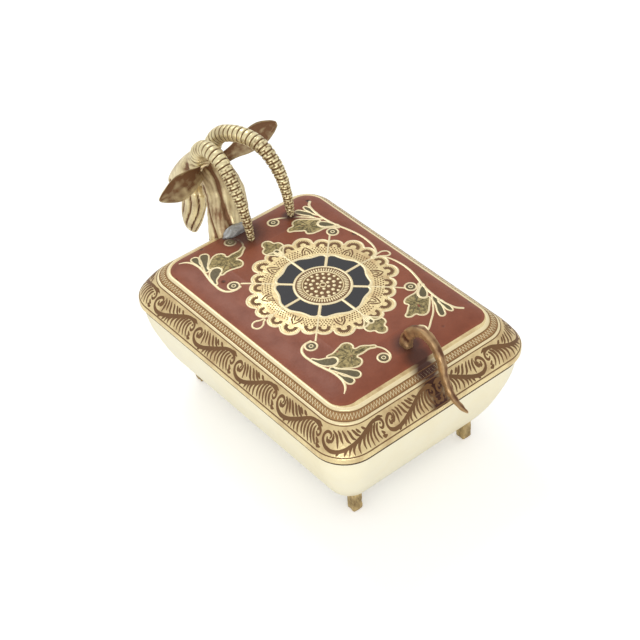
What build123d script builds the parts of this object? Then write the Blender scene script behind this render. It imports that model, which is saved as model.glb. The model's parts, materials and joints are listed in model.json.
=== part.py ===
from build123d import *
from math import cos, radians, sin
import os

os.makedirs("parts", exist_ok=True)

# Hinged trinket box, lid closed. Millimetres, Z up.
# Shaped with the middle of the box over the origin, +Y towards the hinge and the goat head.
# Saved with the origin on the table under the middle of the whole length, nose to tail tip.

# Box outline at the lid rim
halfWidth = 36.9
halfLength = 50.0
rimCorner = 10.4

# Tub
rimGap = 0.6
tubTop = 34.0
tubWall = 1.2
tubFloor = 6.4
tubProfile = [(5.0, 13.6), (7.0, 11.2), (10.0, 9.0), (14.0, 6.7), (18.0, 4.9),
              (22.0, 3.4), (26.0, 2.1), (30.0, 1.3), (tubTop, 0.9)]
stripOuter = 2.1
stripInner = 3.4
stripBottom = 29.0
stripTop = 36.0

# Feet
footSide = 3.4
footHeight = 7.4
footX = halfWidth - 15.3
footY = halfLength - 13.2

# Lid
lidBottom = tubTop + rimGap
lipHeight = 1.5
lidWall = 1.0
lipTop = lidBottom + lipHeight
shoulderProfile = [(lipTop, 0.0), (39.2, 2.0), (41.7, 4.0), (43.7, 6.0), (45.7, 8.6)]
crown = 47.6
domeProfile = [(45.7, 8.6), (46.7, 11.5), (47.3, 16.0), (crown, 22.0)]

# Inlay
inlayDepth = 0.5
panelHalfWidth = 28.2
panelHalfLength = 40.4
panelCorner = 5.2
rosetteX = 0.5
rosetteY = 1.0
rosetteRadius = 18.5
scallops = [(8.0, 19.4, 2.6), (22.7, 19.7, 3.0), (39.0, 18.4, 2.6)]
cellInner = 8.8
cellEdge = [(0, 14.0), (8, 13.9), (15, 13.4), (22, 13.0), (30, 13.2), (36, 13.6), (41, 13.5),
            (45, 12.8)]
spokeHalf = 0.45
medallionRadius = 8.3
medallionHeight = 0.5

# Hinge
axisY = halfLength + 1.7
axisZ = tubTop
knuckleRadius = 1.5
pinRadius = 0.7
pinClearance = 0.05
middleKnuckle = 7.0
knuckleGap = 0.3
outerKnuckle = 5.5
leafThickness = 0.9
leafBottom = 26.0
pinHeadRadius = 1.2
pinHeadThickness = 0.6

# Tail lift on the centre line
tailX = 1.4

# Middle of the whole length, from how far the nose and the tail tip pass the rim
noseReach = 29.084
tailReach = 8.674
wholeMiddle = (noseReach - tailReach) / 2


def save(piece, name):
    placed = piece.moved(Location((0, -wholeMiddle, 0)))
    placed.label = name
    export_step(placed, f"parts/{name}.step")


def outline(inset, floor_radius=4.0):
    # Rounded rectangle of the box, moved inwards by the inset
    radius = max(rimCorner - 0.45 * inset, floor_radius)
    return RectangleRounded(2 * (halfWidth - inset), 2 * (halfLength - inset), radius)


def from_edge(points, edge):
    # Points given from a short edge of the rim and from the crown of the lid
    return [(x, edge + y, crown + z) for x, y, z in points]


def stations(points, across):
    # Planes square to a path, one at each of its points
    planes = []
    for i, point in enumerate(points):
        before = Vector(*points[max(i - 1, 0)])
        after = Vector(*points[min(i + 1, len(points) - 1)])
        planes.append(Plane(origin=point, x_dir=across, z_dir=after - before))
    return planes


# Solid blanks used to shape the sheet-metal pieces
with BuildPart() as tub_blank:
    for height, inset in tubProfile:
        with BuildSketch(Plane.XY.offset(height)):
            outline(inset)
    loft()

with BuildPart() as tub_hollow:
    for height, inset in tubProfile[2:]:
        with BuildSketch(Plane.XY.offset(height)):
            outline(inset + tubWall)
    loft()
    with BuildSketch(Plane.XY.offset(tubFloor)):
        outline(14.6)
    with BuildSketch(Plane.XY.offset(tubProfile[2][0])):
        outline(tubProfile[2][1] + tubWall)
    loft()
    with BuildSketch(Plane.XY.offset(tubTop)):
        outline(tubProfile[-1][1] + tubWall)
    extrude(amount=5)

with BuildPart() as lid_blank:
    with BuildSketch(Plane.XY.offset(lidBottom)):
        outline(0)
    extrude(amount=lipHeight)
    for profile in (shoulderProfile, domeProfile):
        for height, inset in profile:
            with BuildSketch(Plane.XY.offset(height)):
                outline(inset)
        loft()

with BuildPart() as lid_hollow:
    with BuildSketch(Plane.XY.offset(lidBottom - 1)):
        outline(lidWall)
    extrude(amount=lipHeight + 1)
    for profile in (shoulderProfile, domeProfile):
        for height, inset in profile:
            drop = lidWall * inset / domeProfile[0][1] if inset < domeProfile[0][1] else lidWall
            with BuildSketch(Plane.XY.offset(height - drop)):
                outline(inset + lidWall)
        loft()

# Skin of the lid that the enamel fills: the blank less the same blank lowered
with BuildPart() as skin:
    add(lid_blank.part)
    add(lid_blank.part.moved(Location((0, 0, -inlayDepth))), mode=Mode.SUBTRACT)

with BuildPart() as enamel_field:
    with BuildSketch(Plane.XY.offset(lidBottom)):
        RectangleRounded(2 * panelHalfWidth, 2 * panelHalfLength, panelCorner)
        with Locations((rosetteX, rosetteY)):
            Circle(rosetteRadius, mode=Mode.SUBTRACT)
        for angle, centre, radius in scallops:
            for quarter in range(4):
                for side in (1, -1):
                    turned = radians(90 * quarter + side * angle)
                    spot = (rosetteX + centre * cos(turned), rosetteY + centre * sin(turned))
                    with Locations(spot):
                        Circle(radius, mode=Mode.SUBTRACT)
    extrude(amount=20)
    add(skin.part, mode=Mode.INTERSECT)
save(enamel_field.part, "enamel_field")

# Eight dark cells: two halves of each of the four petals
cells = []
for quarter in range(4):
    for side in (1, -1):
        cell_points = [(0, 0)]
        for angle, radius in cellEdge:
            turned = radians(side * angle)
            cell_points.append((radius * cos(turned), radius * sin(turned)))
        with BuildPart() as cell:
            with BuildSketch(Plane.XY.offset(lidBottom)):
                with BuildLine():
                    Polyline(cell_points, close=True)
                make_face()
                Circle(cellInner, mode=Mode.SUBTRACT)
                Rectangle(4 * cellInner, 2 * spokeHalf, mode=Mode.SUBTRACT)
                Rectangle(4 * cellInner, 2 * spokeHalf, rotation=side * 45, mode=Mode.SUBTRACT)
            extrude(amount=20)
        placed = cell.part.rotate(Axis.Z, 90 * quarter).moved(Location((rosetteX, rosetteY, 0)))
        with BuildPart() as filling:
            add(placed)
            add(skin.part, mode=Mode.INTERSECT)
        name = f"enamel_cell_{len(cells) + 1}"
        save(filling.part, name)
        cells.append(filling.part)

with BuildPart() as lid_shell:
    add(lid_blank.part)
    add(lid_hollow.part, mode=Mode.SUBTRACT)
    add(enamel_field.part, mode=Mode.SUBTRACT)
    for placed in cells:
        add(placed, mode=Mode.SUBTRACT)
save(lid_shell.part, "lid_shell")

with BuildPart() as rosette_medallion:
    with BuildSketch(Plane.XY.offset(crown - 1)):
        with Locations((rosetteX, rosetteY)):
            Circle(medallionRadius)
    extrude(amount=1 + medallionHeight)
    add(lid_blank.part, mode=Mode.SUBTRACT)
save(rosette_medallion.part, "rosette_medallion")

with BuildPart() as base_tub:
    add(tub_blank.part)
    add(tub_hollow.part, mode=Mode.SUBTRACT)
save(base_tub.part, "base_tub")

with BuildPart() as locating_strip:
    with BuildSketch(Plane.XY.offset(stripBottom)):
        outline(stripOuter)
    extrude(amount=stripTop - stripBottom)
    with BuildSketch(Plane.XY.offset(stripBottom)):
        outline(stripInner)
    extrude(amount=stripTop - stripBottom, mode=Mode.SUBTRACT)
    add(base_tub.part, mode=Mode.SUBTRACT)
save(locating_strip.part, "locating_strip")

# Cast square feet soldered under the corners
for end, ySign in (("front", -1), ("back", 1)):
    for side, xSign in (("left", -1), ("right", 1)):
        with BuildPart() as foot:
            with BuildSketch(Plane.XY):
                with Locations((xSign * footX, ySign * footY)):
                    Rectangle(footSide, footSide)
            extrude(amount=footHeight)
            add(tub_blank.part, mode=Mode.SUBTRACT)
        name = f"foot_{end}_{side}"
        save(foot.part, name)

# Hinge at the back, under the neck
outerStart = middleKnuckle / 2 + knuckleGap
hingeHalf = outerStart + outerKnuckle
with BuildPart() as hinge_leaf_base:
    for side in (1, -1):
        centre = side * (outerStart + outerKnuckle / 2)
        with BuildSketch(Plane.YZ.offset(centre - outerKnuckle / 2)):
            with Locations((axisY, axisZ)):
                Circle(knuckleRadius)
            with Locations(((halfLength - 3 + axisY) / 2, axisZ - knuckleRadius / 2)):
                Rectangle(axisY - halfLength + 3, knuckleRadius)
        extrude(amount=outerKnuckle)
    plateTop = axisZ - knuckleRadius - 0.7
    with BuildSketch(Plane.YZ.offset(-hingeHalf)):
        with Locations((halfLength - 2.6, (leafBottom + axisZ - knuckleRadius) / 2)):
            Rectangle(5.2, axisZ - knuckleRadius - leafBottom)
    extrude(amount=2 * hingeHalf)
    with BuildSketch(Plane.YZ.offset(-outerStart)):
        with Locations((halfLength, (plateTop + axisZ) / 2)):
            Rectangle(10, axisZ - plateTop)
    extrude(amount=2 * outerStart, mode=Mode.SUBTRACT)
    with BuildSketch(Plane.YZ.offset(-hingeHalf)):
        with Locations((axisY, axisZ)):
            Circle(pinRadius + pinClearance)
    extrude(amount=2 * hingeHalf, mode=Mode.SUBTRACT)
    add(tub_blank.part, mode=Mode.SUBTRACT)
save(hinge_leaf_base.part, "hinge_leaf_base")

with BuildPart() as hinge_leaf_lid:
    with BuildSketch(Plane.YZ.offset(-middleKnuckle / 2)):
        with Locations((axisY, axisZ)):
            Circle(knuckleRadius)
        with Locations(((halfLength - 3 + axisY) / 2, lidBottom + 2.2)):
            Rectangle(axisY - halfLength + 3, 4.4)
        with Locations((axisY - 0.4, (axisZ + lidBottom) / 2 + 0.4)):
            Rectangle(0.8, 1.4)
        with Locations((axisY, axisZ)):
            Circle(pinRadius + pinClearance, mode=Mode.SUBTRACT)
    extrude(amount=middleKnuckle)
    add(lid_blank.part, mode=Mode.SUBTRACT)
save(hinge_leaf_lid.part, "hinge_leaf_lid")

with BuildPart() as hinge_pin:
    with BuildSketch(Plane.YZ.offset(-hingeHalf)):
        with Locations((axisY, axisZ)):
            Circle(pinRadius)
    extrude(amount=2 * hingeHalf)
    for start in (-hingeHalf - pinHeadThickness, hingeHalf):
        with BuildSketch(Plane.YZ.offset(start)):
            with Locations((axisY, axisZ)):
                Circle(pinHeadRadius)
        extrude(amount=pinHeadThickness)
save(hinge_pin.part, "hinge_pin")

# Goat head: one casting of neck, skull, muzzle and beard, turned a little to the left
turn = 6.5
across = (cos(radians(turn)), sin(radians(turn)), 0)

neckPath = from_edge([(-2.2, -7.5, -9.6), (-1.4, -6.7, -1.6), (0.8, -3.5, 3.9), (2.6, 1, 7.9),
                      (4.6, 8.5, 8.9)], halfLength)
neckSizes = [(7.2, 5.0), (6.8, 4.8), (6.6, 5.2), (6.2, 5.4), (5.0, 4.8)]
skullPath = from_edge([(5.4, 6, 12.4), (4.9, 10.5, 9.9), (4.2, 17, 4.6), (3.4, 23, -1),
                       (2.9, 27, -4.8)], halfLength)
skullSizes = [(4.0, 3.4), (6.2, 5.8), (5.9, 5.6), (4.6, 4.4), (3.4, 3.0)]
beardPath = from_edge([(4.2, 16.5, -0.6), (3.8, 19.5, -9.6), (3.6, 21.5, -17.1),
                       (3.4, 22.6, -22.6)], halfLength)
beardSizes = [(4.4, 4.6), (3.6, 4.6), (3.0, 3.8), (1.0, 2.2)]
with BuildPart() as goat_head:
    for path, sizes in ((neckPath, neckSizes), (skullPath, skullSizes), (beardPath, beardSizes)):
        for station, size in zip(stations(path, across), sizes):
            with BuildSketch(station):
                Ellipse(size[0], size[1])
        loft()
    add(lid_blank.part, mode=Mode.SUBTRACT)
save(goat_head.part, "goat_head")

leftHornPath = from_edge([(2.4, 11.2, 10.9), (0.7, 8.5, 17.4), (0.25, 4.5, 20.7),
                          (-0.2, 0.1, 21.5), (-0.4, -4.4, 20.4), (-0.7, -8.2, 17.7),
                          (-1.1, -11.4, 14.3), (-1.4, -14.4, 10.2), (-1.4, -16.5, 5),
                          (-1.4, -18, -0.7)], halfLength)
rightHornPath = from_edge([(8.4, 13.4, 11.9), (8.9, 11.6, 16.4), (9.5, 8, 20), (10.6, 2.5, 22.2),
                           (11.7, -2.7, 22.7), (12.6, -7.5, 21.6), (13.3, -11.2, 18.6),
                           (13.9, -14, 14.2), (14.3, -15.6, 9.1), (14.6, -16.4, 4),
                           (14.9, -16.6, -0.8)], halfLength)
hornSizes = [2.9, 2.85, 2.8, 2.7, 2.6, 2.5, 2.35, 2.15, 1.85, 1.6, 1.1]
for side, path in (("left", leftHornPath), ("right", rightHornPath)):
    sizes = hornSizes[len(hornSizes) - len(path):]
    with BuildPart() as horn:
        for station, size in zip(stations(path, (1, 0, 0)), sizes):
            with BuildSketch(station):
                Circle(size)
        loft()
        add(goat_head.part, mode=Mode.SUBTRACT)
        add(lid_blank.part, mode=Mode.SUBTRACT)
    name = f"horn_{side}"
    save(horn.part, name)
    if side == "left":
        left_horn = horn
    else:
        right_horn = horn

leftEarPath = from_edge([(0.5, 7.5, 10.9), (-2.5, 6, 11.7), (-7, 4, 12.6), (-13, 1.9, 13.6),
                         (-18, 0.5, 14.3), (-20.9, -0.1, 14.5)], halfLength)
rightEarPath = from_edge([(9.5, 8.5, 10.9), (13, 8.6, 11.4), (17.5, 9, 11.8), (24, 9.8, 12),
                          (29.3, 10.4, 12), (32.2, 10.6, 11.9)], halfLength)
earSizes = [(1.8, 1.2), (2.2, 1.2), (3.3, 1.1), (3.8, 1.0), (2.2, 0.8), (0.5, 0.4)]
for side, path in (("left", leftEarPath), ("right", rightEarPath)):
    with BuildPart() as ear:
        for station, size in zip(stations(path, (0.1, 0.5, 0.86)), earSizes):
            with BuildSketch(station):
                Ellipse(size[0], size[1])
        loft()
        add(goat_head.part, mode=Mode.SUBTRACT)
        add(left_horn.part, mode=Mode.SUBTRACT)
        add(right_horn.part, mode=Mode.SUBTRACT)
    name = f"ear_{side}"
    save(ear.part, name)

# Curled tail that serves as the lift at the front
tailPath = from_edge([(tailX, 16.6, -2.6), (tailX, 15.8, 2.4), (tailX, 12.8, 6.8),
                      (tailX, 8.8, 8.4), (tailX, 5.1, 7), (tailX, 2.4, 3.4), (tailX, 1, -1.6),
                      (tailX, -1.4, -6), (tailX, -4.9, -8.2), (tailX, -8.6, -8.9)], -halfLength)
tailSizes = [(3.4, 4.6), (2.8, 4.0), (2.6, 3.6), (2.6, 3.4), (2.6, 3.2), (2.4, 3.0),
             (2.3, 2.8), (2.1, 2.4), (1.8, 1.8), (1.0, 0.8)]
tailEdge = 0.22
with BuildPart() as tail_lift:
    for station, size in zip(stations(tailPath, (1, 0, 0)), tailSizes):
        with BuildSketch(station):
            RectangleRounded(size[0], size[1], min(size) * tailEdge)
    loft()
    add(lid_blank.part, mode=Mode.SUBTRACT)
save(tail_lift.part, "tail_lift")

# Solder left at the joints: (x, y from the edge, z from the crown, half axes)
solderSpots = {
    "solder_neck": ((goat_head, left_horn), halfLength,
                    [(-3.6, -11.4, -2.6, 5.2, 3.2), (-2.6, -9.4, 3.2, 4.0, 2.2)]),
    "solder_tail": ((tail_lift,), -halfLength,
                    [(tailX, 16.4, -1.6, 3.4, 3.8), (tailX, 16.2, 0.8, 2.3, 2.9)]),
    "solder_horn_right": ((right_horn,), halfLength,
                          [(14.9, -16.6, -1.1, 2.2, 2.2), (14.9, -16.6, 1.0, 1.9, 1.9)]),
}
for name, (carriers, edge, rings) in solderSpots.items():
    with BuildPart() as solder:
        for x, y, z, half_x, half_y in rings:
            with BuildSketch(Plane.XY.offset(crown + z)):
                with Locations((x, edge + y)):
                    Ellipse(half_x, half_y)
        loft()
        for carrier in carriers:
            add(carrier.part, mode=Mode.SUBTRACT)
        add(lid_blank.part, mode=Mode.SUBTRACT)
    save(solder.part, name)
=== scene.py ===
import bpy
import json
import math
from mathutils import Vector, Matrix, noise
from mathutils.bvhtree import BVHTree

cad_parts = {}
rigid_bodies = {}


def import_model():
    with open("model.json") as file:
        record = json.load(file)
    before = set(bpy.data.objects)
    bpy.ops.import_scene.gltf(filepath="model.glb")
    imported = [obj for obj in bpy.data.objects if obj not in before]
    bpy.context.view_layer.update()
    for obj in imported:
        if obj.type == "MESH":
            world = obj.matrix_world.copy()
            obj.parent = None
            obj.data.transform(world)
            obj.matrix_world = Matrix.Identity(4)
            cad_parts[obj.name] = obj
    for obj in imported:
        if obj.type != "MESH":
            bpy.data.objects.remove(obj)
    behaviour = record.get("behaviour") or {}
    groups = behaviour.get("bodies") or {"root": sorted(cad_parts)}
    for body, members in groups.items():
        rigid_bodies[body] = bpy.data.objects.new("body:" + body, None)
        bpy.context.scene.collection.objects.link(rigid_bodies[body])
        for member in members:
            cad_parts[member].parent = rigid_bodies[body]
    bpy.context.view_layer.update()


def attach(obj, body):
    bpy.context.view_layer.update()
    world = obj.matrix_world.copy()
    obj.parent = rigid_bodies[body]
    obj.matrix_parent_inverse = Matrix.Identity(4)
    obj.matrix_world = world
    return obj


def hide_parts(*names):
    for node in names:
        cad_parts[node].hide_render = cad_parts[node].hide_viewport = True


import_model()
mm = 0.001
scene = bpy.context.scene
scene.view_settings.view_transform = "Standard"
node = bpy.data.objects
boxMiddle = -10.205  # the box's own middle along Y, in mm, from the origin of the whole object


def atBox(x, y, z=0.0):
    # from mm in the box's own frame to metres in the shared one
    return Vector((x * mm, (y + boxMiddle) * mm, z * mm))


def deselect():
    if bpy.context.object and bpy.context.object.mode != "OBJECT":
        bpy.ops.object.mode_set(mode="OBJECT")
    bpy.ops.object.select_all(action="DESELECT")


def pick(obj):
    deselect()
    obj.select_set(True)
    bpy.context.view_layer.objects.active = obj


def smooth(obj, angle):
    pick(obj)
    bpy.ops.object.shade_smooth_by_angle(angle=math.radians(angle))
    deselect()


def editWhole(obj, *steps):
    # runs mesh operators on the whole of a piece
    pick(obj)
    bpy.ops.object.mode_set(mode="EDIT")
    bpy.ops.mesh.select_all(action="SELECT")
    for step in steps:
        step()
    bpy.ops.object.mode_set(mode="OBJECT")


def dress(obj, material):
    if not obj.material_slots:
        obj.data.materials.append(material)
    for slot in obj.material_slots:
        slot.material = material


def finishPiece(obj, name, body, material):
    obj.name = name
    obj.data.name = name
    dress(obj, material)
    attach(obj, body)


cameraView = {"azimuth": -37.9, "elevation": 41.35, "roll": -3.1, "distance": 0.488,
              "lookAt": (0.0094, 0.0147, 0.020), "lens": 88.99}


def placeCamera(view):
    az = math.radians(view["azimuth"])
    el = math.radians(view["elevation"])
    roll = math.radians(view["roll"])
    back = Vector((math.sin(az) * math.cos(el), -math.cos(az) * math.cos(el), math.sin(el)))
    right = (-back).cross(Vector((0, 0, 1))).normalized()
    up = right.cross(-back)
    rolledRight = right * math.cos(roll) + up * math.sin(roll)
    rolledUp = up * math.cos(roll) - right * math.sin(roll)
    bpy.ops.object.camera_add()
    camera = bpy.context.object
    spot = Vector(view["lookAt"]) + back * view["distance"] + Vector((0, boxMiddle * mm, 0))
    turn = Matrix((rolledRight, rolledUp, back)).transposed().to_4x4()
    camera.matrix_world = Matrix.Translation(spot) @ turn
    camera.data.lens = view["lens"]
    camera.data.sensor_width = 36
    camera.data.clip_start = 0.01
    scene.camera = camera
    print("camera placed")


placeCamera(cameraView)


studio = {"sky": 0.74, "keyPower": 1.5, "keyAt": (0.1, 0.5, 0.7), "keySize": 0.35,
          "fillPower": 5.2, "fillAt": (-0.75, -0.8, 0.12), "fillSize": 0.7, "aimHeight": 0.03,
          "floorSize": 6, "paper": 0.9, "paperGlow": 0.3}
white = (1, 1, 1, 1)


def addLamp(name, spot, power, size):
    bpy.ops.object.light_add(type="AREA", location=spot)
    lamp = bpy.context.object
    lamp.name = name
    lamp.data.energy = power
    lamp.data.size = size
    aim = Vector((0, 0, studio["aimHeight"])) - Vector(spot)
    lamp.rotation_euler = aim.to_track_quat("-Z", "Y").to_euler()


def setInputs(tree, target, inputs):
    # inputs by name or place; a socket is linked, anything else becomes the input's own value
    for key, value in inputs.items():
        if isinstance(value, bpy.types.NodeSocket):
            tree.links.new(value, target.inputs[key])
        else:
            target.inputs[key].default_value = value
    return target


def addNode(tree, kind, inputs):
    return setInputs(tree, tree.nodes.new(f"ShaderNode{kind}"), inputs)


def cameraMix(tree, plain, seen, target):
    # the camera sees one shader, all other rays meet the plain one
    path = addNode(tree, "LightPath", {})
    mix = addNode(tree, "MixShader", {"Fac": path.outputs["Is Camera Ray"], 1: plain, 2: seen})
    setInputs(tree, target, {"Surface": mix.outputs[0]})


def buildStudio(values):
    world = bpy.data.worlds.new("paleStudio")
    scene.world = world
    world.use_nodes = True
    tree = world.node_tree
    tree.nodes.clear()
    lit, seen = (addNode(tree, "Background", {"Color": white, "Strength": strength}).outputs[0]
                 for strength in (values["sky"], 1.0))
    cameraMix(tree, lit, seen, addNode(tree, "OutputWorld", {}))
    addLamp("keyLamp", values["keyAt"], values["keyPower"], values["keySize"])
    addLamp("fillLamp", values["fillAt"], values["fillPower"], values["fillSize"])
    bpy.ops.mesh.primitive_plane_add(size=values["floorSize"], location=(0, 0, 0))
    floor = bpy.context.object
    floor.name = "floor"
    material = bpy.data.materials.new("floorPaper")
    material.use_nodes = True
    tree = material.node_tree
    shader = setInputs(tree, tree.nodes["Principled BSDF"], {
        "Base Color": (*[values["paper"]] * 3, 1), "Roughness": 0.9, "Specular IOR Level": 0.0})
    glow = addNode(tree, "Emission", {"Color": white, "Strength": values["paperGlow"]})
    add = addNode(tree, "AddShader", {0: shader.outputs[0], 1: glow.outputs[0]})
    cameraMix(tree, shader.outputs[0], add.outputs[0], tree.nodes["Material Output"])
    dress(floor, material)
    print("studio ready")


buildStudio(studio)


def mathNode(tree, operation, *values, clamp=False):
    made = addNode(tree, "Math", dict(enumerate(values)))
    made.operation = operation
    made.use_clamp = clamp
    return made.outputs[0]


def rangeNode(tree, value, zeroAt, oneAt):
    return addNode(tree, "MapRange", {"Value": value, "From Min": zeroAt, "From Max": oneAt}).outputs[0]


def mixNode(tree, part, first, second):
    # a colour mix, where 6 and 7 are the colour inputs and 2 the colour output
    made = tree.nodes.new("ShaderNodeMix")
    made.data_type = "RGBA"
    return setInputs(tree, made, {"Factor": part, 6: first, 7: second}).outputs[2]


# scorched spots left by soldering, with place in mm and reach; the last one, at the right horn's tip, is a
# painted contact shadow
burnAndShadowSpots = ((1.8, -34.2, 47, 5.6), (1.0, -38.8, 46, 5.6), (0.4, -42.6, 44, 5.6), (0.0, -46.0, 41, 5.6),
             (0.0, -49.0, 37, 4.6), (-1.5, 36.5, 46.5, 9.0), (14.6, 33.4, 46.8, 3.6))


# the charred colour also paints the contact shadow at the right horn's tip
patinaLook = {"hollow": (0.53, 0.44), "cloud": (0.42, 0.68), "cloudShare": 0.6, "patch": (0.1, 0.4),
              "spotCore": 0.45, "upward": 0.05, "charAndShadow": (0.075, 0.028, 0.018, 1),
              "grainScale": 1400, "grainDepth": 0.0002}
patinaSockets = (("Clean", "INPUT", "Color"), ("TarnishAndShade", "INPUT", "Color"), ("Amount", "INPUT", "Float"),
                 ("Scale", "INPUT", "Float"), ("Grain", "INPUT", "Float"), ("BurnAndShadow", "INPUT", "Float"),
                 ("Color", "OUTPUT", "Color"), ("Mask", "OUTPUT", "Float"), ("Normal", "OUTPUT", "Vector"))


def buildPatinaGroup(values):
    # tarnish in hollows, cloudy colour shift, scorching with a painted contact shadow, and painted shade from
    # the swept parts' vertex values
    group = bpy.data.node_groups.new("brassPatina", "ShaderNodeTree")
    for name, side, kind in patinaSockets:
        group.interface.new_socket(name=name, in_out=side, socket_type=f"NodeSocket{kind}")
    given = group.nodes.new("NodeGroupInput").outputs
    coord = addNode(group, "TexCoord", {}).outputs
    cloud = addNode(group, "TexNoise", {"Detail": 6, "Roughness": 0.65, "Vector": coord["Object"],
                                        "Scale": given["Scale"]}).outputs["Fac"]
    pointed = addNode(group, "NewGeometry", {}).outputs["Pointiness"]
    hollow = rangeNode(group, pointed, *values["hollow"])
    spread = rangeNode(group, cloud, *values["cloud"])
    both = mathNode(group, "MULTIPLY_ADD", spread, values["cloudShare"], hollow)
    amount = mathNode(group, "MULTIPLY", both, given["Amount"], clamp=True)
    # per-vertex darkening of the swept parts: tarnish in their grooves plus painted shade
    grimeAndShade = addNode(group, "Attribute", {})
    grimeAndShade.attribute_name = "grimeAndShade"
    soiledAndShaded = mathNode(group, "ADD", amount, grimeAndShade.outputs["Fac"], clamp=True)
    brass = mixNode(group, soiledAndShaded, given["Clean"], given["TarnishAndShade"])
    burnAndShadow = None
    for x, y, z, reach in burnAndShadowSpots:
        away = addNode(group, "VectorMath", {0: coord["Object"], 1: atBox(x, y, z)})
        away.operation = "DISTANCE"
        near = rangeNode(group, away.outputs["Value"], reach * mm, reach * values["spotCore"] * mm)
        burnAndShadow = near if burnAndShadow is None else mathNode(group, "MAXIMUM", burnAndShadow, near)
    # only the outside of the lid takes the scorching and the painted contact shadow
    facing = addNode(group, "SeparateXYZ", {0: coord["Normal"]}).outputs["Z"]
    outside = mathNode(group, "GREATER_THAN", facing, values["upward"])
    patchy = rangeNode(group, cloud, *values["patch"])
    for factor in (outside, patchy, given["BurnAndShadow"]):
        burnAndShadow = mathNode(group, "MULTIPLY", burnAndShadow, factor)
    fine = addNode(group, "TexNoise", {"Scale": values["grainScale"], "Detail": 3, "Vector": coord["Object"]})
    grain = addNode(group, "Bump", {"Distance": values["grainDepth"], "Strength": given["Grain"],
                                    "Height": fine.outputs["Fac"]})
    setInputs(group, group.nodes.new("NodeGroupOutput"), {
        "Color": mixNode(group, burnAndShadow, brass, values["charAndShadow"]), "Mask": soiledAndShaded,
        "Normal": grain.outputs["Normal"]})
    return group


patinaGroup = buildPatinaGroup(patinaLook)


def brassMaterial(name, clean, tarnishAndShade, amount, scale, grain, metallic, rough, burnAndShadow=0.0):
    material = bpy.data.materials.new(name)
    material.use_nodes = True
    tree = material.node_tree
    patina = tree.nodes.new("ShaderNodeGroup")
    patina.node_tree = patinaGroup
    setInputs(tree, patina, {"Clean": (*clean, 1), "TarnishAndShade": (*tarnishAndShade, 1), "Amount": amount,
                             "Scale": scale, "Grain": grain, "BurnAndShadow": burnAndShadow})
    made = patina.outputs
    ramp = addNode(tree, "MapRange", {"Value": made["Mask"], "To Min": rough[0], "To Max": rough[1]})
    setInputs(tree, tree.nodes["Principled BSDF"], {
        "Base Color": made["Color"], "Roughness": ramp.outputs[0], "Normal": made["Normal"],
        "Metallic": metallic})
    return material


# each finish: clean colour, tarnished colour (also the colour of painted shade), amount and scale of tarnish,
# grain, metallic, roughness clean and tarnished, and how far scorching and the painted contact shadow show,
# where they do
finishes = {
    "tubBrass": ((1.0, 0.95, 0.74), (0.95, 0.81, 0.46), 0.5, 35, 0.05, 0.15, (0.3, 0.45)),
    "lidGold": ((1.0, 0.82, 0.44), (0.36, 0.17, 0.06), 0.7, 190, 0.5, 0.6, (0.26, 0.55), 1.0),
    "wireGold": ((0.98, 0.84, 0.52), (0.66, 0.44, 0.20), 0.3, 220, 0.15, 0.35, (0.32, 0.5), 1.0),
    "leafGold": ((0.66, 0.52, 0.22), (0.10, 0.075, 0.025), 1.2, 1100, 0.6, 0.35, (0.4, 0.6), 0.7),
    "castBrass": ((1.0, 0.86, 0.50), (0.24, 0.12, 0.055), 0.75, 150, 0.35, 0.55, (0.28, 0.6)),
    "hornBrass": ((1.0, 0.88, 0.52), (0.20, 0.10, 0.035), 0.55, 160, 0.3, 0.6, (0.26, 0.6)),
    "tailBrass": ((0.68, 0.45, 0.22), (0.16, 0.07, 0.035), 0.6, 140, 0.3, 0.7, (0.28, 0.6)),
    "footBrass": ((0.72, 0.55, 0.27), (0.13, 0.07, 0.03), 0.9, 260, 0.6, 0.7, (0.35, 0.7)),
    "hingeBrass": ((0.78, 0.64, 0.38), (0.30, 0.18, 0.08), 0.5, 120, 0.2, 0.7, (0.3, 0.55)),
    # near black, so that the gap under the lid shows as painted shade
    "gapShadeBrass": ((0.10, 0.055, 0.025), (0.04, 0.025, 0.012), 0.6, 80, 0.2, 0.4, (0.5, 0.7)),
    "solderGrey": ((0.50, 0.51, 0.50), (0.20, 0.17, 0.13), 0.6, 260, 0.8, 0.6, (0.35, 0.6)),
    "darkGold": ((0.46, 0.26, 0.10), (0.24, 0.12, 0.05), 0.5, 260, 0.3, 0.4, (0.45, 0.6), 1.0),
    "engravedLine": ((0.20, 0.095, 0.03), (0.10, 0.05, 0.02), 0.5, 200, 0.2, 0.2, (0.5, 0.7)),
    "oliveFill": ((0.15, 0.12, 0.045), (0.07, 0.05, 0.02), 0.6, 500, 0.6, 0.1, (0.35, 0.5)),
    "redEnamel": ((0.31, 0.092, 0.046), (0.17, 0.042, 0.02), 0.7, 130, 0.3, 0.0, (0.34, 0.46), 0.9),
    "darkEnamel": ((0.030, 0.030, 0.033), (0.018, 0.018, 0.02), 0.5, 200, 0.1, 0.0, (0.2, 0.33)),
}
look = {name: brassMaterial(name, *values) for name, values in finishes.items()}
pits = {"scale": 210.0, "reach": 0.22, "rare": 0.86, "depth": 0.0002, "tint": (0.05, 0.018, 0.012, 1),
        "shine": 0.28}


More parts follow.
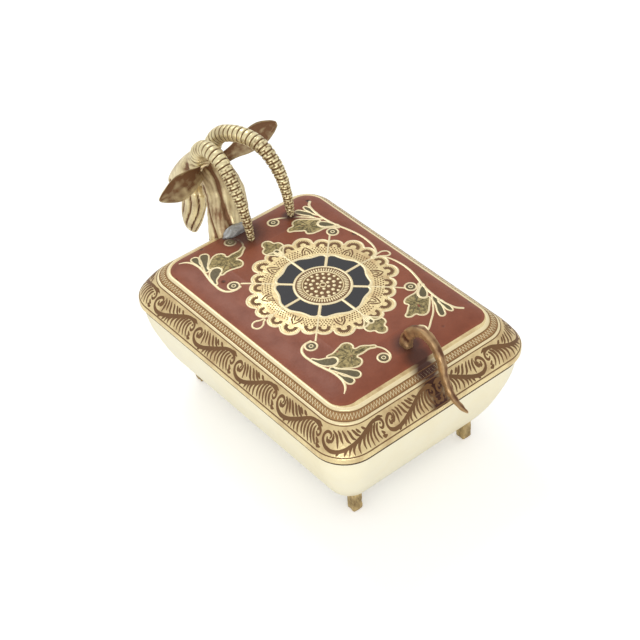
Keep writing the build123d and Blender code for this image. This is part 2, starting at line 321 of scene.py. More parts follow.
def addPits(material, values):
    # sparse small pits in the enamel, darker and sunk
    tree = material.node_tree
    shader = tree.nodes["Principled BSDF"]
    colour, grain = (shader.inputs[name].links[0].from_socket for name in ("Base Color", "Normal"))
    coord = addNode(tree, "TexCoord", {})
    cells = addNode(tree, "TexVoronoi", {"Scale": values["scale"], "Vector": coord.outputs["Object"]}).outputs
    spot = rangeNode(tree, cells["Distance"], values["reach"], values["reach"] * 0.5)
    parts = addNode(tree, "SeparateColor", {"Color": cells["Color"]})
    rare = mathNode(tree, "GREATER_THAN", parts.outputs[0], values["rare"])
    pit = mathNode(tree, "MULTIPLY", spot, rare)
    sunk = addNode(tree, "Bump", {"Distance": values["depth"], "Height": pit, "Normal": grain})
    sunk.invert = True
    setInputs(tree, shader, {"Base Color": mixNode(tree, pit, colour, values["tint"]),
                             "Normal": sunk.outputs["Normal"], "Specular IOR Level": values["shine"]})


addPits(look["redEnamel"], pits)
print("materials ready")


nodeLook = {"tubBrass": ("base_tub",), "gapShadeBrass": ("locating_strip",), "lidGold": ("lid_shell",),
            "hingeBrass": ("hinge_leaf_base", "hinge_leaf_lid", "hinge_pin"),
            "redEnamel": ("enamel_field",), "engravedLine": ("rosette_medallion",),
            "darkEnamel": [f"enamel_cell_{k}" for k in range(1, 9)],
            "footBrass": ("foot_front_left", "foot_front_right", "foot_back_left", "foot_back_right"),
            "castBrass": ("goat_head", "ear_left", "ear_right"), "hornBrass": ("horn_left", "horn_right"),
            "tailBrass": ("tail_lift",), "solderGrey": ("solder_neck", "solder_tail", "solder_horn_right")}
for finish, names in nodeLook.items():
    for name in names:
        dress(node[name], look[finish])


def skinTree(names):
    # the surfaces of the named nodes, for ray casting
    points = []
    faces = []
    for name in names:
        mesh = node[name].data
        start = len(points)
        points += [v.co.copy() for v in mesh.vertices]
        faces += [[start + i for i in p.vertices] for p in mesh.polygons]
    return BVHTree.FromPolygons(points, faces)


lidSkin = skinTree(["lid_shell", "enamel_field", *nodeLook["darkEnamel"]])


lidReach = {"rayFrom": 0.09, "offLid": 0.036}  # metres: where the rays start, and the level beside the lid


def lidHit(x, y):
    # height and outward direction of the lid's top at x, y in metres
    spot, normal = lidSkin.ray_cast(Vector((x, y, lidReach["rayFrom"])), Vector((0, 0, -1)))[:2]
    if spot is None:
        return lidReach["offLid"], Vector((0, 0, 1))
    return spot.z, -normal if normal.z < 0 else normal


def drape(obj, flatten, lift):
    # moves each vertex so that its height counts from the lid's surface
    for v in obj.data.vertices:
        z, normal = lidHit(v.co.x, v.co.y)
        up = v.co.z * flatten + lift
        v.co = Vector((v.co.x, v.co.y, z)) + normal * up
    obj.data.update()


def curveObject(name, lines, bevel, flat, steps):
    data = bpy.data.curves.new(name, "CURVE")
    data.dimensions = "2D" if flat else "3D"
    data.resolution_u = steps
    if flat:
        data.fill_mode = "BOTH"
    else:
        data.bevel_depth = bevel
        data.bevel_resolution = 2
        data.use_fill_caps = True
    for line in lines:
        points, closed = line[0], line[1]
        taper = line[2] if len(line) > 2 else None
        spline = data.splines.new("BEZIER")
        spline.bezier_points.add(len(points) - 1)
        for i, (x, y) in enumerate(points):
            point = spline.bezier_points[i]
            point.co = atBox(x, y)
            point.handle_left_type = "AUTO"
            point.handle_right_type = "AUTO"
            if taper:
                point.radius = taper[i]
        spline.use_cyclic_u = closed
    obj = bpy.data.objects.new(name, data)
    scene.collection.objects.link(obj)
    pick(obj)
    bpy.ops.object.convert(target="MESH")
    return bpy.context.object


def layWires(name, lines, width, height, finish="wireGold", lift=0.0, steps=8):
    obj = curveObject(name, lines, width * mm / 2, False, steps)
    drape(obj, height / width * 2, lift * mm)
    smooth(obj, 60)
    finishPiece(obj, name, "lid", look[finish])


def layFill(name, outlines, lift, finish):
    obj = curveObject(name, [(points, True) for points in outlines], 0, True, 8)
    editWhole(obj, bpy.ops.mesh.quads_convert_to_tris, lambda: bpy.ops.mesh.subdivide(number_cuts=2))
    drape(obj, 0, lift * mm)
    finishPiece(obj, name, "lid", look[finish])


# the sizes of a wire are its width and its height over the lid
rosette = {"x": 0.5, "y": 1.0, "ring": 8.3, "ringWire": (0.85, 0.16), "spoke": (0.8, 0.15),
           "scallopWire": (0.7, 0.16), "stem": (0.6, 0.15), "spokeFrom": 8.4, "spokeMiddle": 11,
           "spokeEnds": (14.2, 13.4), "diagonalStem": (13.6, 19, 24.0), "axisStem": (14.0, 17, 20.5),
           "scallopFloor": 18.6, "scallopGap": 0.1}
cellEdge = [(0, 14.4), (8, 14.3), (15, 13.8), (22, 13.4), (30, 13.6), (36, 14.0), (41, 13.9), (45, 13.3)]
scallops = [(8.0, 19.4, 2.6), (22.7, 19.7, 3.0), (39.0, 18.4, 2.6)]


def polar(radius, angle):
    a = math.radians(angle)
    return (rosette["x"] + radius * math.cos(a), rosette["y"] + radius * math.sin(a))


def scallopRadiusAt(angle):
    # outermost radius of the scallop circles in one octant, angle from the axis
    best = rosette["scallopFloor"]
    for turn, centre, radius in scallops:
        d = math.radians(angle - turn)
        side = centre * math.sin(d)
        if abs(side) < radius:
            best = max(best, centre * math.cos(d) + math.sqrt(radius ** 2 - side ** 2))
    return best


def buildRosette(values):
    ring = [polar(values["ring"], k * 22.5) for k in range(16)]
    edge = []
    for quarter in range(4):
        for angle, radius in cellEdge:
            edge.append(polar(radius, quarter * 90 + angle))
        for angle, radius in reversed(cellEdge[1:-1]):
            edge.append(polar(radius, quarter * 90 + 90 - angle))
    spokes = []
    for k in range(8):
        radii = (values["spokeFrom"], values["spokeMiddle"], values["spokeEnds"][k % 2])
        spokes.append(([polar(radius, k * 45) for radius in radii], False))
    layWires("rosetteWires", [(ring, True), (edge, True)], *values["ringWire"])
    layWires("rosetteSpokes", spokes, *values["spoke"])
    outline = []
    for k in range(0, 360, 2):
        octant = min(k % 90, 90 - k % 90)
        outline.append(polar(scallopRadiusAt(octant) + values["scallopGap"], k))
    layWires("scallopWire", [(outline, True)], *values["scallopWire"], steps=3)
    stems = []
    for start, radii in ((45, values["diagonalStem"]), (0, values["axisStem"])):
        for k in range(start, 360, 90):
            stems.append(([polar(radius, k) for radius in radii], False))
    layWires("stemWires", stems, *values["stem"])


buildRosette(rosette)

# each ring of pearls: how many, radius of the ring, radius of a pearl
medallion = {"rise": 0.12, "groundRadius": 8.1, "groundDepth": 0.3, "pearlFlat": 0.4, "pearlWobble": 0.12,
             "pearlRings": ((6, 1.75, 0.52), (12, 3.4, 0.58), (18, 5.05, 0.5)), "hatchCount": 60,
             "hatchRadius": 6.95, "hatchSize": (0.75, 0.25, 0.2), "eye": 0.85, "innerRing": 5.95,
             "ringWire": (0.4, 0.3)}


def copyMoved(base, place):
    # a copy with its own mesh, each vertex put where place() says
    copy = base.copy()
    copy.data = base.data.copy()
    scene.collection.objects.link(copy)
    for v in copy.data.vertices:
        v.co = place(v.co)
    return copy


def joinPieces(pieces):
    deselect()
    for piece in pieces:
        piece.select_set(True)
    bpy.context.view_layer.objects.active = pieces[0]
    bpy.ops.object.join()
    return bpy.context.object


def buildMedallion(values):
    cx = rosette["x"] * mm
    cy = (rosette["y"] + boxMiddle) * mm
    top = lidHit(cx, cy)[0] + values["rise"] * mm
    deselect()
    bpy.ops.mesh.primitive_cylinder_add(vertices=96, radius=values["groundRadius"] * mm, depth=mm)
    ground = bpy.context.object
    for v in ground.data.vertices:
        level = top if v.co.z > 0 else top - values["groundDepth"] * mm
        v.co = Vector((v.co.x + cx, v.co.y + cy, level))
    finishPiece(ground, "medallionGround", "lid", look["engravedLine"])
    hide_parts("rosette_medallion")
    deselect()
    bpy.ops.mesh.primitive_uv_sphere_add(segments=12, ring_count=7, radius=mm)
    base = bpy.context.object
    pieces = []
    for count, radius, size in values["pearlRings"]:
        shift = 0.5 if radius > 3 else 0
        for k in range(count):
            a = 2 * math.pi * (k + shift) / count
            wobble = 1 + values["pearlWobble"] * noise.noise(Vector((k * 1.7, radius, 0)))
            x = cx + radius * mm * wobble * math.cos(a)
            y = cy + radius * mm * wobble * math.sin(a)
            wide = size * wobble
            high = wide * values["pearlFlat"]
            pieces.append(copyMoved(base, lambda c: Vector((x + c.x * wide, y + c.y * wide,
                                                            top + c.z * high))))
    length, width, height = values["hatchSize"]
    for k in range(values["hatchCount"]):
        a = 2 * math.pi * k / values["hatchCount"]
        out = Vector((math.cos(a), math.sin(a), 0))
        side = Vector((-math.sin(a), math.cos(a), 0))
        middle = Vector((cx, cy, top)) + out * values["hatchRadius"] * mm
        pieces.append(copyMoved(base, lambda c: middle + out * c.x * length + side * c.y * width
                                + Vector((0, 0, c.z * height))))
    bpy.data.objects.remove(base)
    pearls = joinPieces(pieces)
    smooth(pearls, 60)
    finishPiece(pearls, "medallionPearls", "lid", look["wireGold"])
    eye = [polar(values["eye"], k * 45) for k in range(8)]
    inner = [polar(values["innerRing"], k * 22.5) for k in range(16)]
    layWires("medallionRings", [(eye, True), (inner, True)], *values["ringWire"],
             lift=values["rise"])


buildMedallion(medallion)


def strokes(name, segments, width):
    # short tapered cuts, each a list of points
    lines = []
    for points in segments:
        lines.append((points, False, [0.45] + [1.0] * (len(points) - 2) + [0.35]))
    layWires(name, lines, width, 0.06, "engravedLine", lift=0.02, steps=3)


# rays fill the scallops, rows of short cuts run inside them, and a bud stands in each octant;
# the bud's points are radius and degrees from its middle
scallopWork = {"width": 0.5, "rays": 15, "rayTurn": 15, "rayFrom": 0.3, "rayTo": 0.74,
               "rows": (15.0, 15.75, 16.5, 17.25), "rowCuts": 15, "rowStart": 1.2, "rowStep": 3.0,
               "rowShift": 1.5, "rowGap": (16, 29), "cutParts": (0, 0.25, 0.5), "bud": 22.7,
               "budEdge": ((15.0, 5.5), (16.6, 4.6), (17.9, 1.6), (18.5, 0)),
               "budVein": ((15.1, 2.6), (16.4, 2.0), (17.2, 0))}


def buildScallopCuts(values):
    cuts = []
    for quarter in range(4):
        for side in (1, -1):
            for turn, centre, radius in scallops:
                base = quarter * 90 + side * turn
                cx, cy = polar(centre, base)
                r0, r1 = radius * values["rayFrom"], radius * values["rayTo"]
                for k in range(values["rays"]):
                    a = math.radians(base + (k - values["rays"] // 2) * values["rayTurn"])
                    cuts.append([(cx + r * math.cos(a), cy + r * math.sin(a)) for r in (r0, (r0 + r1) / 2,
                                                                                        r1)])
            for row, low in enumerate(values["rows"]):
                for k in range(values["rowCuts"]):
                    turn = values["rowStart"] + k * values["rowStep"] + values["rowShift"] * (row % 2)
                    if row > 0 and values["rowGap"][0] < turn < values["rowGap"][1]:
                        continue
                    angle = quarter * 90 + side * turn
                    cuts.append([polar(low + part, angle) for part in values["cutParts"]])
            middle = quarter * 90 + side * values["bud"]
            for edge in (-1, 1):
                for shape in (values["budEdge"], values["budVein"]):
                    cuts.append([polar(radius, middle + edge * turn) for radius, turn in shape])
    strokes("scallopCuts", cuts, values["width"])


buildScallopCuts(scallopWork)


leftSpray = {
    "stem": [(-17.2, -15.0), (-19.6, -14.9), (-21.4, -15.9), (-22.3, -18), (-22.3, -20.5), (-22.1, -23),
        (-21.5, -26), (-20.9, -29), (-20.9, -32), (-21.3, -33.8), (-22.3, -35.5), (-23.8, -36.7)],
    "circles": [(-18.6, -16.6), (-6.8, -33.6)],
    "tail": [(-5.6, -28.8), (-4.6, -30.4), (-4.3, -32.5), (-4.9, -34.4), (-6.2, -35.3)],
    "drops": [[(-22, -20.6), (-20.5, -22.2), (-18.5, -23.3), (-16.9, -24.5), (-16.9, -26), (-18, -26.8),
        (-19.7, -26.4), (-21.2, -24.8), (-21.9, -22.5)], [(-20.6, -26.9), (-18.2, -29.6), (-16.2, -31.8),
        (-15.4, -33.3), (-15.8, -34.4), (-16.9, -34.8), (-17.9, -34.2), (-19, -31.8), (-20.2, -29)],
        [(-20.4, -30), (-19.6, -31.8), (-18.6, -33.5), (-18.4, -34.6), (-19.2, -35.4), (-20.3, -35.2),
        (-20.8, -34), (-20.7, -32)]],
    "leaf": [(-18.3, -23.1), (-16, -23), (-13.5, -22.4), (-11.5, -22), (-10.2, -23), (-10.1, -24.5),
        (-10.6, -25.5), (-8.5, -26.1), (-6.8, -27.4), (-5.4, -28.9), (-7.5, -28.4), (-10, -28.5),
        (-12, -28.6), (-11.8, -30), (-12.8, -31.3), (-14.2, -31.6), (-15.8, -31), (-17.2, -30),
        (-19.4, -27.5), (-18.0, -27.0), (-16.7, -26), (-16.7, -24.6)],
}
rightSpray = {
    "stem": [(24, 35.3), (22.3, 33.6), (21.6, 31.5), (21.2, 28.5), (21.3, 25), (22, 20.5), (23.2, 16.5),
        (24.2, 12), (24.2, 8), (23.4, 4.5), (22, 1.6)],
    "circles": [(18.9, 18.4), (8.6, 34.2)],
    "tail": [(9.6, 35.6), (11, 34.8), (13, 33.3), (16, 31), (18.5, 28.2), (20.8, 25.2)],
    "drops": [[(20.9, 25.9), (18.6, 29.3), (16.8, 32.3), (16.6, 33.6), (17.6, 34), (19, 32.3), (20.4, 28.8)],
        [(20.9, 28.2), (20, 31), (19.9, 33.2), (20.6, 34), (21.4, 33), (21.4, 30.5)], [(22.2, 19.3),
        (20.2, 20.8), (18.3, 22.4), (17.9, 23.8), (19, 24.7), (20.4, 23.8), (21.5, 21.8)]],
    "leaf": [(22, 18.9), (20.2, 20.3), (18, 21.3), (15.5, 21.4), (13.6, 21.8), (12.6, 22.9), (12.9, 24.2),
        (12.1, 24.9), (10.5, 26.2), (9, 27.3), (9.8, 28.3), (11.8, 28.5), (12.4, 29.6), (13.6, 30.3),
        (15.2, 29.9), (16.5, 28.8), (18.8, 26.6), (19.8, 25.3), (18.4, 24.9), (17.6, 23.6), (18.2, 22)],
}


def circleLine(x, y, radius):
    turns = [k * math.pi / 4 for k in range(8)]
    return ([(x + radius * math.cos(a), y + radius * math.sin(a)) for a in turns], True)


def mirrored(points):
    # the other end of the panel carries the same spray, mirrored
    return [(x, 2 * rosette["y"] - y) for x, y in points]


sprayWork = {"circle": 1.7, "circleFill": 1.3, "dot": 0.55, "stemWire": (0.85, 0.16), "wire": (0.6, 0.16),
             "dotWire": (0.3, 0.1), "veinWire": (0.3, 0.08), "veinAt": (0.2, 0.5, 0.8),
             "veinTaper": [0.4, 1.0, 0.5], "stemEnd": [0.8, 0.35], "dropLift": 0.05, "leafLift": 0.04}


def buildSprays(values):
    wires = []
    stems = []
    drops = []
    leaves = []
    dots = []
    veins = []
    for spray in (leftSpray, rightSpray):
        for turn in (list, mirrored):
            plain = [1.0] * (len(spray["stem"]) - 2)
            stems.append((turn(spray["stem"]), False, plain + values["stemEnd"]))
            wires.append((turn(spray["tail"]), False))
            for x, y in turn(spray["circles"]):
                wires.append(circleLine(x, y, values["circle"]))
                drops.append(circleLine(x, y, values["circleFill"])[0])
                dots.append(circleLine(x, y, values["dot"]))
            for drop in spray["drops"]:
                wires.append((turn(drop), True))
                drops.append(turn(drop))
            wires.append((turn(spray["leaf"]), True))
            leaves.append(turn(spray["leaf"]))
            mx, my = (sum(p[i] for p in spray["leaf"]) / len(spray["leaf"]) for i in (0, 1))
            for x, y in spray["leaf"][::2]:
                vein = [(mx + (x - mx) * f, my + (y - my) * f) for f in values["veinAt"]]
                veins.append((turn(vein), False, values["veinTaper"]))
    layWires("sprayStems", stems, *values["stemWire"])
    layWires("sprayWires", wires, *values["wire"])
    layWires("sprayDots", dots, *values["dotWire"], lift=0.04)
    layWires("sprayVeins", veins, *values["veinWire"], "oliveFill", lift=0.05, steps=3)
    layFill("sprayDrops", drops, values["dropLift"], "oliveFill")
    layFill("sprayLeaves", leaves, values["leafLift"], "leafGold")


buildSprays(sprayWork)


sprigs = {
    "middle": 0.35, "wire": (0.6, 0.16), "leafLift": 0.04, "dropLift": 0.06,
    "leaf": [(0, 19.6), (1.6, 21.2), (3.3, 23.3), (3.1, 25), (1.8, 25.9), (1.5, 27.3), (0, 28.3),
        (-1.5, 27.3), (-1.8, 25.9), (-3.1, 25), (-3.3, 23.3), (-1.6, 21.2)],
    "drop": [(0, 19.2), (0.9, 21), (0.8, 22.4), (0, 23), (-0.8, 22.4), (-0.9, 21)],
    "loops": [[(-21, 1), (-22.3, 1.7), (-23.8, 2.4), (-25, 1.8), (-25.2, 0.6), (-24.2, -0.6), (-22.8, -0.4),
        (-21.8, 0.5)], [(20.4, 0.9), (22, 1.5), (24.4, 1.5), (25.4, 0.7), (25.2, -0.5), (24, -1),
        (22.4, -0.2)]],
}


def buildSprigs(values):
    leaf, drop = ([(values["middle"] + x, y) for x, y in values[kind]] for kind in ("leaf", "drop"))
    outlines = [leaf, mirrored(leaf), drop, mirrored(drop)]
    layWires("sprigWires", [(line, True) for line in outlines + values["loops"]], *values["wire"])
    layFill("sprigLeaves", outlines[:2], values["leafLift"], "leafGold")
    layFill("sprigDrops", outlines[2:], values["dropLift"], "oliveFill")


buildSprigs(sprigs)
print("ornament laid")


# lengths along the rim are counted with one arc radius, so that lines at every inset keep step
rim = {"halfX": 36.9, "halfY": 50.0, "corner": 10.4, "arcRadius": 9, "tighter": 0.45, "leastCorner": 4.0,
       "points": 160}


def rimLengths():
    # straight run along X, along Y, a corner and the whole way round
    straightX = 2 * (rim["halfX"] - rim["corner"])
    straightY = 2 * (rim["halfY"] - rim["corner"])
    arc = math.pi / 2 * rim["arcRadius"]
    return straightX, straightY, arc, 2 * straightX + 2 * straightY + 4 * arc


def rimPoint(inset, part):
    # point at part (0 to 1) of the way round the outline that is inset from the rim
    radius = max(rim["corner"] - rim["tighter"] * inset, rim["leastCorner"])
    a = rim["halfX"] - inset
    b = rim["halfY"] - inset
    straightX, straightY, arc, whole = rimLengths()
    s = (part % 1.0) * whole
    corners = [(a - radius, -(b - radius), -90), (a - radius, b - radius, 0),
               (-(a - radius), b - radius, 90), (-(a - radius), -(b - radius), 180)]
    sides = [straightX, straightY, straightX, straightY]
    # sides run: front (left to right), right, back, left
    ends = [((-(a - radius), -b), (a - radius, -b)), ((a, -(b - radius)), (a, b - radius)),
            ((a - radius, b), (-(a - radius), b)), ((-a, b - radius), (-a, -(b - radius)))]
    for k in range(4):
        if s <= sides[k]:
            t = s / sides[k]
            p, q = ends[k]
            return (p[0] + (q[0] - p[0]) * t, p[1] + (q[1] - p[1]) * t)
        s -= sides[k]
        if s <= arc:
            angle = math.radians(corners[k][2] + 90 * s / arc)
            return (corners[k][0] + radius * math.cos(angle), corners[k][1] + radius * math.sin(angle))
        s -= arc
    return ends[0][0]


def rimLine(inset):
    return [rimPoint(inset, k / rim["points"]) for k in range(rim["points"])]


# scroll motif of the shoulder in mm along the rim and mm in from it
scroll = {
    "length": 19.75, "repeats": 8, "wobble": 0.12, "stemWire": (0.7, 0.06), "cutWidth": 0.66,
    "stemStart": [0.5, 0.7, 0.8], "stemEnd": [0.9, 0.7, 0.4],
    "stem": [(2.5, 2.7), (2.9, 3.2), (2.2, 3.7), (1.1, 3.4), (0.55, 2.6), (0.95, 1.75), (2.1, 1.15),
        (3.8, 0.95), (6, 1.2), (8, 1.75), (10.5, 2.55), (13, 3.45), (15, 4.0), (17, 4.1), (18.6, 3.6),
        (19.1, 2.8), (18.4, 2.3), (17.6, 2.7)],
    "cuts": [[(3.3, 4.1), (4.4, 3.3), (4.7, 2.4), (4.8, 1.5)], [(4.6, 4.2), (5.3, 3.6), (5.7, 2.9),
        (6.2, 2.2)], [(5.8, 4.25), (6.7, 3.4), (7.3, 2.7), (8.2, 2.2)], [(7.2, 4.25), (8.0, 3.7), (8.7, 3.0),
        (9.6, 2.6)], [(8.5, 4.3), (9.2, 3.9), (9.9, 3.4), (10.9, 3.0)], [(9.7, 4.3), (10.3, 3.9),
        (11.2, 3.45)], [(11.4, 4.3), (12.0, 4.0), (12.8, 3.75)], [(1.7, 2.9), (1.9, 2.3), (2.6, 2.0)],
        [(2.2, 2.5), (3.0, 2.3), (3.5, 2.9), (3.4, 3.6)], [(5.4, 1.0), (4.8, 0.75), (4.4, 0.45)],
        [(7.4, 1.4), (6.8, 1.0), (6.5, 0.45)], [(8.8, 1.85), (8.0, 1.35), (7.8, 0.45)], [(10.2, 2.25),
        (9.2, 1.75), (8.9, 1.1), (9.2, 0.45)], [(11.6, 2.7), (10.6, 2.1), (10.3, 1.3), (10.7, 0.45)],
        [(12.9, 3.2), (12.1, 2.6), (11.8, 1.6), (12.3, 0.7)], [(14.2, 3.5), (13.4, 2.9), (13.0, 1.7),
        (13.6, 0.6)], [(15.3, 3.7), (14.5, 3.0), (14.3, 1.8), (15.1, 0.5)], [(16.4, 3.7), (15.6, 3.0),
        (15.5, 1.9), (16.6, 0.6)], [(17.2, 3.5), (16.6, 2.8), (16.8, 1.8), (17.9, 0.8)], [(18.0, 1.9),
        (18.6, 1.5), (19.2, 1.4)], [(18.2, 1.1), (18.9, 0.9), (19.8, 0.9)], [(16.0, 4.25), (18.0, 4.3),
        (19.4, 4.0)], [(17.9, 3.4), (18.2, 3.0)]],
}


def scrollPoint(along, inset, mirrorX):
    # measured backwards round the rim from the middle of the front
    straightX, straightY, arc, whole = rimLengths()
    x, y = rimPoint(inset, (straightX / 2 + along) / whole)
    return (-x if mirrorX else x, y)


def buildScroll(values):
    stems = []
    cuts = []
    plain = [1.0] * (len(values["stem"]) - 6)
    for mirrorX in (False, True):
        for number in range(values["repeats"]):
            origin = -(number + 1) * values["length"]
            wobble = values["wobble"] * noise.noise(Vector((number * 3.1, 5.0 * mirrorX, 0)))
            place = lambda p: scrollPoint(origin + p[0] + wobble, p[1] + wobble * 0.5, mirrorX)
            stems.append(([place(p) for p in values["stem"]], False,
                          values["stemStart"] + plain + values["stemEnd"]))
            for cut in values["cuts"]:
                if len(cut) == 2:
                    halfway = tuple((p + q) / 2 for p, q in zip(*cut))
                    cut = [cut[0], halfway, cut[1]]
                cuts.append([place(p) for p in cut])
    layWires("scrollStems", stems, *values["stemWire"], "engravedLine", lift=0.02, steps=4)
    strokes("scrollCuts", cuts, values["cutWidth"])


def ribbonBand(name, outer, inner, lift, finish, count):
    # flat strip between two insets, laid on the shoulder
    bpy.ops.mesh.primitive_grid_add(x_subdivisions=count, y_subdivisions=3, size=1)
    band = bpy.context.object
    for v in band.data.vertices:
        v.co = atBox(*rimPoint(outer + (inner - outer) * (v.co.y + 0.5), v.co.x + 0.5))
    editWhole(band, lambda: bpy.ops.mesh.remove_doubles(threshold=0.00001))
    drape(band, 0, lift * mm)
    smooth(band, 60)
    finishPiece(band, name, "lid", look[finish])


# insets from the rim in mm; wire sizes are width and height
border = {"panel": 8.12, "grooves": (7.5, 5.8, 5.02, 0.24), "wire": 5.4, "bandOuter": 5.85, "bandInner": 7.45,
          "bandLift": 0.03, "bandCount": 320, "teeth": 276, "toothLow": 6.15, "toothHigh": 7.2,
          "toothWobble": 0.1, "toothWire": 0.17, "toothFlat": 0.6, "panelWire": (0.9, 0.2),
          "borderWire": (0.5, 0.1), "grooveWire": (0.2, 0.04)}


def buildBorder(values):
    layWires("panelWire", [(rimLine(values["panel"]), True)], *values["panelWire"], steps=2)
    layWires("borderWires", [(rimLine(values["wire"]), True)], *values["borderWire"], steps=2)
    grooves = [(rimLine(inset), True) for inset in values["grooves"]]
    layWires("borderGrooves", grooves, *values["grooveWire"], "engravedLine", lift=0.02, steps=2)
    ribbonBand("zigzagGround", values["bandOuter"], values["bandInner"], values["bandLift"], "darkGold",
               values["bandCount"])
    zigzag = []
    turns = values["teeth"] * 2
    for k in range(turns):
        wobble = values["toothWobble"] * noise.noise(Vector((k * 0.37, 0, 0)))
        inset = values["toothLow"] if k % 2 else values["toothHigh"]
        zigzag.append(rimPoint(inset + wobble, k / turns))
    obj = curveObject("borderZigzag", [(zigzag, True)], values["toothWire"] * mm, False, 1)
    drape(obj, values["toothFlat"], values["bandLift"] * mm)
    finishPiece(obj, "borderZigzag", "lid", look["wireGold"])


buildBorder(border)
buildScroll(scroll)
print("border laid")


def splineAt(rows, t):
    # smooth curve through the rows, t from 0 to 1
    last = len(rows) - 1
    place = min(max(t, 0.0), 1.0) * last
    k = min(int(place), last - 1)
    f = place - k
    p1, p2 = rows[k], rows[k + 1]
    p0 = rows[k - 1] if k > 0 else tuple(2 * a - b for a, b in zip(p1, p2))
    p3 = rows[k + 2] if k + 2 <= last else tuple(2 * b - a for a, b in zip(p1, p2))
    return tuple(0.5 * (2 * b + (c - a) * f + (2 * a - 5 * b + 4 * c - d) * f * f
                        + (3 * b - 3 * c + d - a) * f ** 3) for a, b, c, d in zip(p0, p1, p2, p3))


def groove(x, width):
    # 1 in the middle of each unit step of x, falling to 0 within width
    return math.exp(-(((x % 1.0) - 0.5) / width) ** 2)


def bump(x, middle, width):
    return math.exp(-((x - middle) / width) ** 2)


sweep = {"steps": 240, "reach": 0.004, "sunk": 0.35, "weld": 0.00002}  # sunk is mm into the lid


def sweepMetal(path, sizes, side, relief, along, around, section=None, endRound=(1.0, 1.0), onLid=True):
    # tube along the path; relief gives (offset in mm, grime with painted shade) from the part along, mm along
    # and angle
    deselect()
    bpy.ops.mesh.primitive_grid_add(x_subdivisions=along, y_subdivisions=around, size=1)
    tube = bpy.context.object
    steps = sweep["steps"]
    reach = sweep["reach"]
    spots = [Vector(splineAt(path, k / steps)) for k in range(steps + 1)]
    gone = [0.0]
    for k in range(steps):
        gone.append(gone[-1] + (spots[k + 1] - spots[k]).length)
    whole = gone[-1]
    columns = {}
    grimeAndShade = [0.0] * len(tube.data.vertices)
    for v in tube.data.vertices:
        u = round(v.co.x + 0.5, 5)
        if u not in columns:
            want = u * whole
            k = 0
            while k < steps - 1 and gone[k + 1] < want:
                k += 1
            t = (k + (want - gone[k]) / max(gone[k + 1] - gone[k], 1e-9)) / steps
            ahead = Vector(splineAt(path, t + reach)) - Vector(splineAt(path, t - reach))
            ahead.normalize()
            across = (Vector(side) - ahead * ahead.dot(Vector(side))).normalized()
            shrink = 1.0
            for left, rounded in ((want, endRound[0]), (whole - want, endRound[1])):
                if rounded and left < rounded:
                    shrink = math.sqrt(max(0.0, 1 - (1 - left / rounded) ** 2))
            centre = Vector(splineAt(path, t))
            columns[u] = (centre, across, ahead.cross(across), splineAt(sizes, t), shrink, want)
        centre, across, other, half, shrink, want = columns[u]
        angle = (v.co.y + 0.5) * 2 * math.pi
        c, d = math.cos(angle), math.sin(angle)
        if section:
            c, d = section(c, d)
        offset, grimeAndShadeLevel = relief(u, want, angle)
        point = centre + (across * (half[0] * c) + other * (half[1] * d)) * shrink
        point += (across * c + other * d) * offset * shrink
        v.co = atBox(*point)
        if onLid:
            v.co.z = max(v.co.z, lidHit(v.co.x, v.co.y)[0] - sweep["sunk"] * mm)
        grimeAndShade[v.index] = min(max(grimeAndShadeLevel, 0.0), 1.0)
    attribute = tube.data.attributes.new("grimeAndShade", "FLOAT", "POINT")
    attribute.data.foreach_set("value", grimeAndShade)
    editWhole(tube, lambda: bpy.ops.mesh.remove_doubles(threshold=sweep["weld"]),
              lambda: bpy.ops.mesh.normals_make_consistent(inside=False))
    smooth(tube, 50)
    return tube


horns = {
    "left": [(1.4, 60.8, 60), (0.7, 58.5, 65), (0.25, 54.5, 68.3), (-0.2, 50.1, 69.1), (-0.4, 45.6, 68),
        (-0.7, 41.8, 65.3), (-1.1, 38.6, 61.9), (-1.4, 35.6, 57.8), (-1.4, 33.5, 52.6), (-1.4, 32, 46.9)],
    "right": [(8.4, 63.4, 59.5), (8.9, 61.6, 64), (9.5, 58, 67.6), (10.6, 52.5, 69.8), (11.7, 47.3, 70.3),
        (12.6, 42.5, 69.2), (13.3, 38.8, 66.2), (13.9, 36, 61.8), (14.3, 34.4, 56.7), (14.6, 33.6, 51.6),
        (14.9, 33.4, 46.8)],
    "radii": [2.9, 2.85, 2.8, 2.7, 2.6, 2.5, 2.35, 2.15, 1.85, 1.6, 1.1],
    "shifts": {"left": 0.3, "right": 1.7}, "ringPitch": 1.75, "ringDepth": 0.42, "notchFrom": 0.42,
    "notchFade": 0.12, "sectors": 5, "mesh": (300, 30), "endRound": (0.8, 0.8),
}


def hornRelief(values, shift):
    # rings all along, and from the middle on also rows of notches between them
    def relief(u, along, angle):
        turns = along / values["ringPitch"]
        ring = groove(turns + 0.06 * math.sin(angle * 2 + shift), 0.13)
        sector = angle / (2 * math.pi) * values["sectors"] + shift
        blocks = max(0.0, min(1.0, (u - values["notchFrom"]) / values["notchFade"]))
        row = groove(sector + 0.5 * (int(turns) % 2), 0.10) * blocks
        uneven = 0.5 + 0.5 * math.sin(angle * values["sectors"] + int(turns) * 2.1)
        half = groove(turns + 0.5, 0.10) * blocks * uneven
        deep = max(ring, row * 0.85, half * 0.7)
        rough = noise.noise(Vector((along * 1.3, angle * 2.0, shift))) * 0.10
        return -values["ringDepth"] * deep - 0.1 + rough * 0.9, deep * 0.95 + max(0.0, rough * 3)
    return relief


def buildHorns(values):
    for side, shift in values["shifts"].items():
        path = values[side]
        sizes = [(r, r) for r in values["radii"][-len(path):]]
        horn = sweepMetal(path, sizes, (1, 0, 0), hornRelief(values, shift), *values["mesh"],
                          endRound=values["endRound"])
        finishPiece(horn, f"horn{side.capitalize()}Ringed", "lid", look["hornBrass"])
        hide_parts(f"horn_{side}")


buildHorns(horns)

